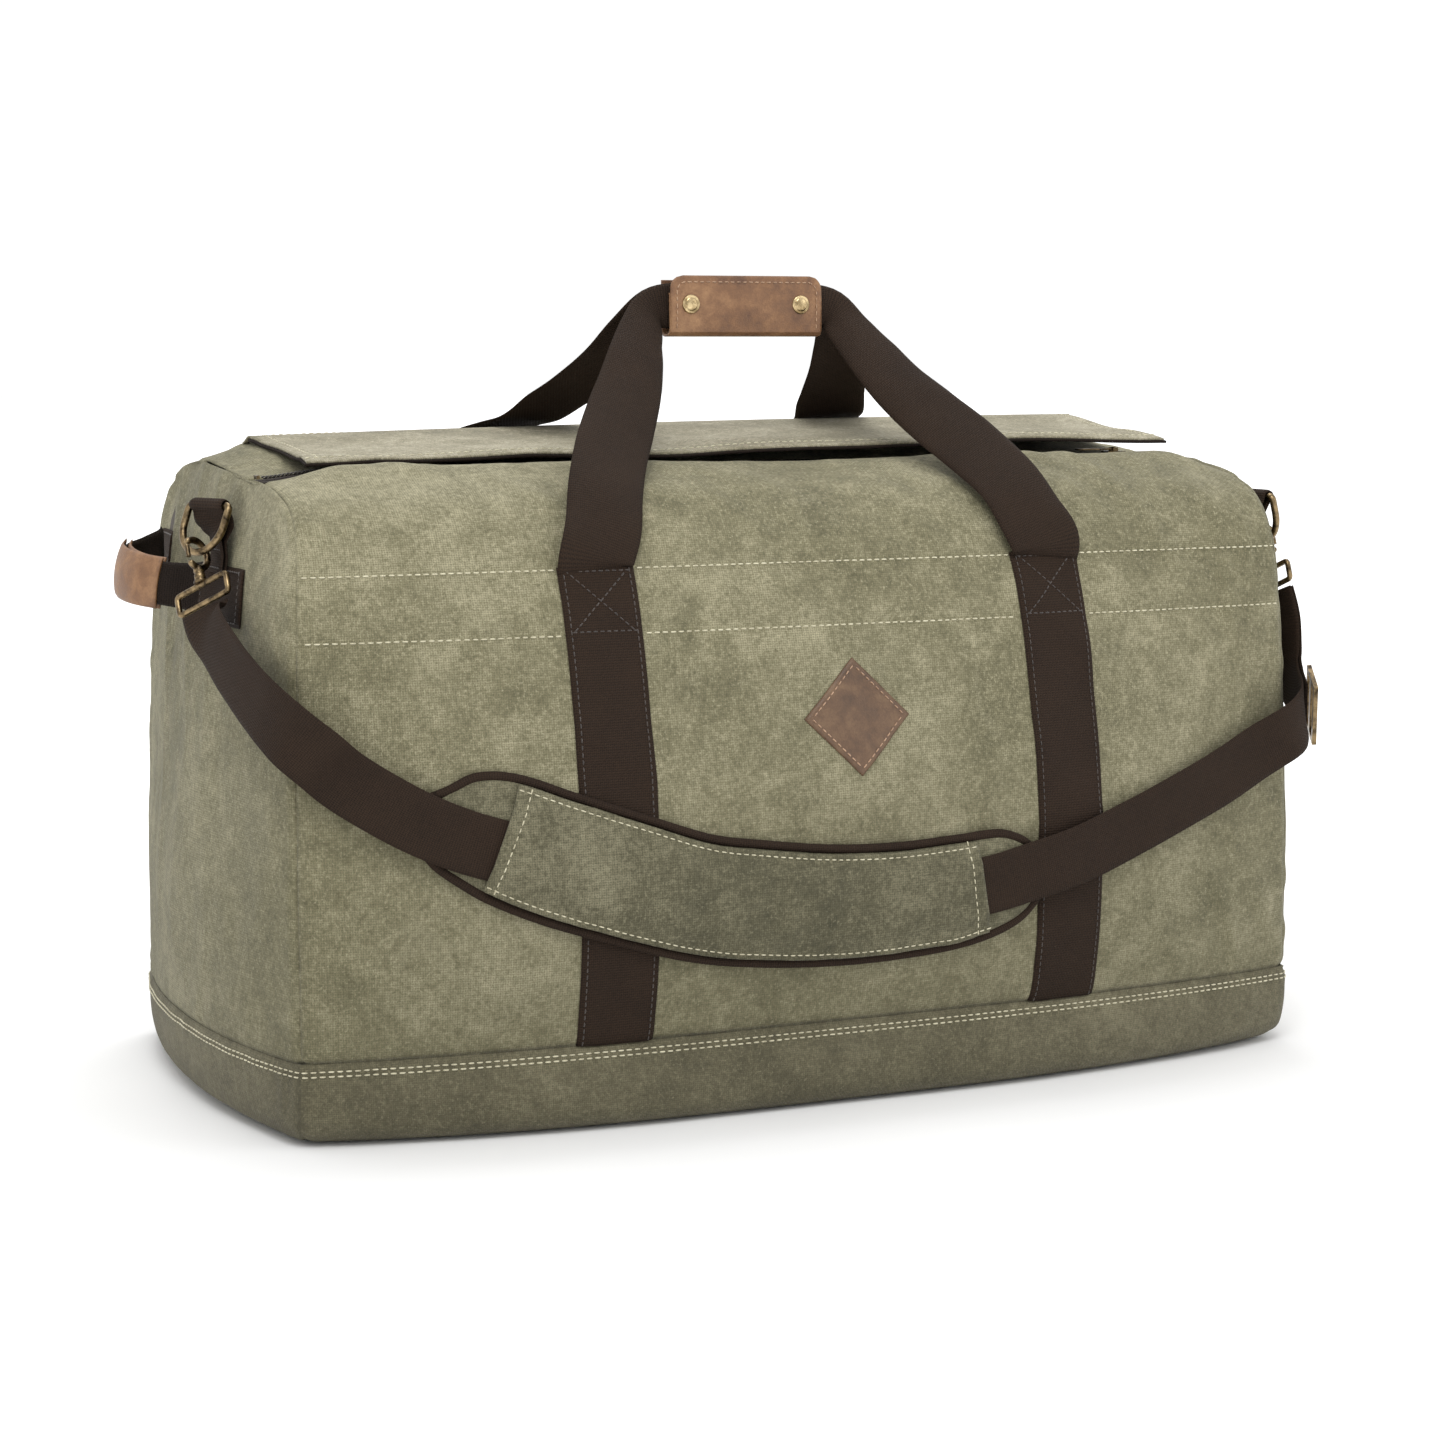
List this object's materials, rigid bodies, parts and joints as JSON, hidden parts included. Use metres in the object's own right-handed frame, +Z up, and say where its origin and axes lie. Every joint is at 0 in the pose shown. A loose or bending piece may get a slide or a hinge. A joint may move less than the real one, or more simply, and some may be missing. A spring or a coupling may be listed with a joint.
{
  "type": "duffel bag",
  "caption": "Soft canvas travel duffel with zipped top under a flap, webbing handles joined by a snapped leather grip, end grab handles and a padded hooked shoulder strap.",
  "frame": {"origin": "centre of the bag body's underside, on the surface it stands on", "axes": "+X along the bag's length towards the end with the strap adjuster, -Y towards the front with the patch and shoulder pad, +Z up"},
  "size_m": [0.811, 0.4514, 0.5243],
  "materials": {
    "canvas": "waxed cotton canvas",
    "base_canvas": "heavier waxed canvas",
    "board": "pressed board",
    "lining": "thin woven lining",
    "webbing": "cotton webbing",
    "zip_tape": "woven tape",
    "zip_coil": "moulded coil",
    "antique_brass": "antique brass, worn",
    "grip_leather": "waxed leather",
    "patch_leather": "waxed leather"
  },
  "bodies": {
    "bag": {"front_panel": "canvas", "rear_panel": "canvas", "left_end_panel": "canvas", "right_end_panel": "canvas", "base_band": "base_canvas", "base_floor": "base_canvas", "base_board": "board", "lining": "lining", "flap_seam_strip": "canvas", "zip_tape_front": "zip_tape", "zip_tape_rear": "zip_tape", "zip_coil_front": "zip_coil", "zip_coil_rear": "zip_coil", "zip_end_stops": "antique_brass", "front_run_left": "webbing", "front_run_right": "webbing", "rear_run_left": "webbing", "rear_run_right": "webbing", "base_straps": "webbing", "leather_patch": "patch_leather", "left_ring_tab": "webbing", "right_ring_tab": "webbing", "left_handle_anchors": "webbing", "right_handle_anchors": "webbing"},
    "flap": {"top_flap": "canvas"},
    "slider": {"zip_slider": "antique_brass"},
    "pull": {"zip_pull": "antique_brass"},
    "handles": {"front_handle_loop": "webbing", "rear_handle_loop": "webbing", "grip_wrap": "grip_leather", "snap_studs": "antique_brass"},
    "grip_cover": {"grip_flap": "grip_leather", "snap_caps": "antique_brass"},
    "left_ring": {"left_d_ring": "antique_brass"},
    "right_ring": {"right_d_ring": "antique_brass"},
    "strap": {"left_hook": "antique_brass", "right_hook": "antique_brass", "strap_webbing": "webbing", "strap_return": "webbing", "strap_slider": "antique_brass", "pad_base": "canvas", "pad_binding": "webbing", "pad_sleeve": "canvas"},
    "left_gate": {"left_hook_gate": "antique_brass"},
    "right_gate": {"right_hook_gate": "antique_brass"},
    "left_handle": {"left_handle_web": "webbing", "left_handle_leather": "grip_leather"},
    "right_handle": {"right_handle_web": "webbing", "right_handle_leather": "grip_leather"}
  },
  "joints": [
    {"name": "flap_hinge", "type": "hinge", "parent": "bag", "child": "flap", "pos_m": [0, 0.05, 0.4255], "axis": [-1, 0, 0], "range_deg": [0, 18]},
    {"name": "zip_slide", "type": "slide", "parent": "bag", "child": "slider", "axis": [-1, 0, 0], "range_m": [0, 0.562]},
    {"name": "pull_hinge", "type": "hinge", "parent": "slider", "child": "pull", "pos_m": [0.282, -0.06, 0.4065], "axis": [0, 1, 0], "range_deg": [0, 12]},
    {"name": "handle_sway", "type": "hinge", "parent": "bag", "child": "handles", "pos_m": [0, 0, 0.4], "axis": [1, 0, 0], "range_deg": [-18, 18], "deforming": ["front_handle_loop", "rear_handle_loop"]},
    {"name": "grip_cover_hinge", "type": "hinge", "parent": "handles", "child": "grip_cover", "pos_m": [0.003, -0.0499, 0.4871], "axis": [1, 0, 0], "range_deg": [0, 110]},
    {"name": "left_ring_swing", "type": "hinge", "parent": "bag", "child": "left_ring", "pos_m": [-0.3635, -0.048, 0.381], "axis": [-0.4226, 0.9063, 0], "range_deg": [-3, 3]},
    {"name": "right_ring_swing", "type": "hinge", "parent": "bag", "child": "right_ring", "pos_m": [0.3585, -0.125, 0.375], "axis": [0, 1, 0], "range_deg": [-3, 3]},
    {"name": "strap_swing", "type": "hinge", "parent": "bag", "child": "strap", "pos_m": [-0.37402, -0.05291, 0.35226], "axis": [-0.9952, 0.097, 0.0099], "range_deg": [0, 18]},
    {"name": "left_gate_hinge", "type": "hinge", "parent": "strap", "child": "left_gate", "pos_m": [-0.38013, -0.05869, 0.35016], "axis": [-0.5446, 0.7263, -0.4193], "range_deg": [0, 10], "stiffness_Nm_per_rad": 0.002, "springref_deg": -28.65},
    {"name": "right_gate_hinge", "type": "hinge", "parent": "strap", "child": "right_gate", "pos_m": [0.37328, -0.12661, 0.3405], "axis": [0, -0.9397, 0.342], "range_deg": [0, 10], "stiffness_Nm_per_rad": 0.002, "springref_deg": -28.65},
    {"name": "left_handle_hinge", "type": "hinge", "parent": "bag", "child": "left_handle", "pos_m": [-0.3585, 0, 0.33], "axis": [0, 1, 0], "range_deg": [-8, 8]},
    {"name": "right_handle_hinge", "type": "hinge", "parent": "bag", "child": "right_handle", "pos_m": [0.3585, 0, 0.33], "axis": [0, 1, 0], "range_deg": [-8, 8]}
  ]
}
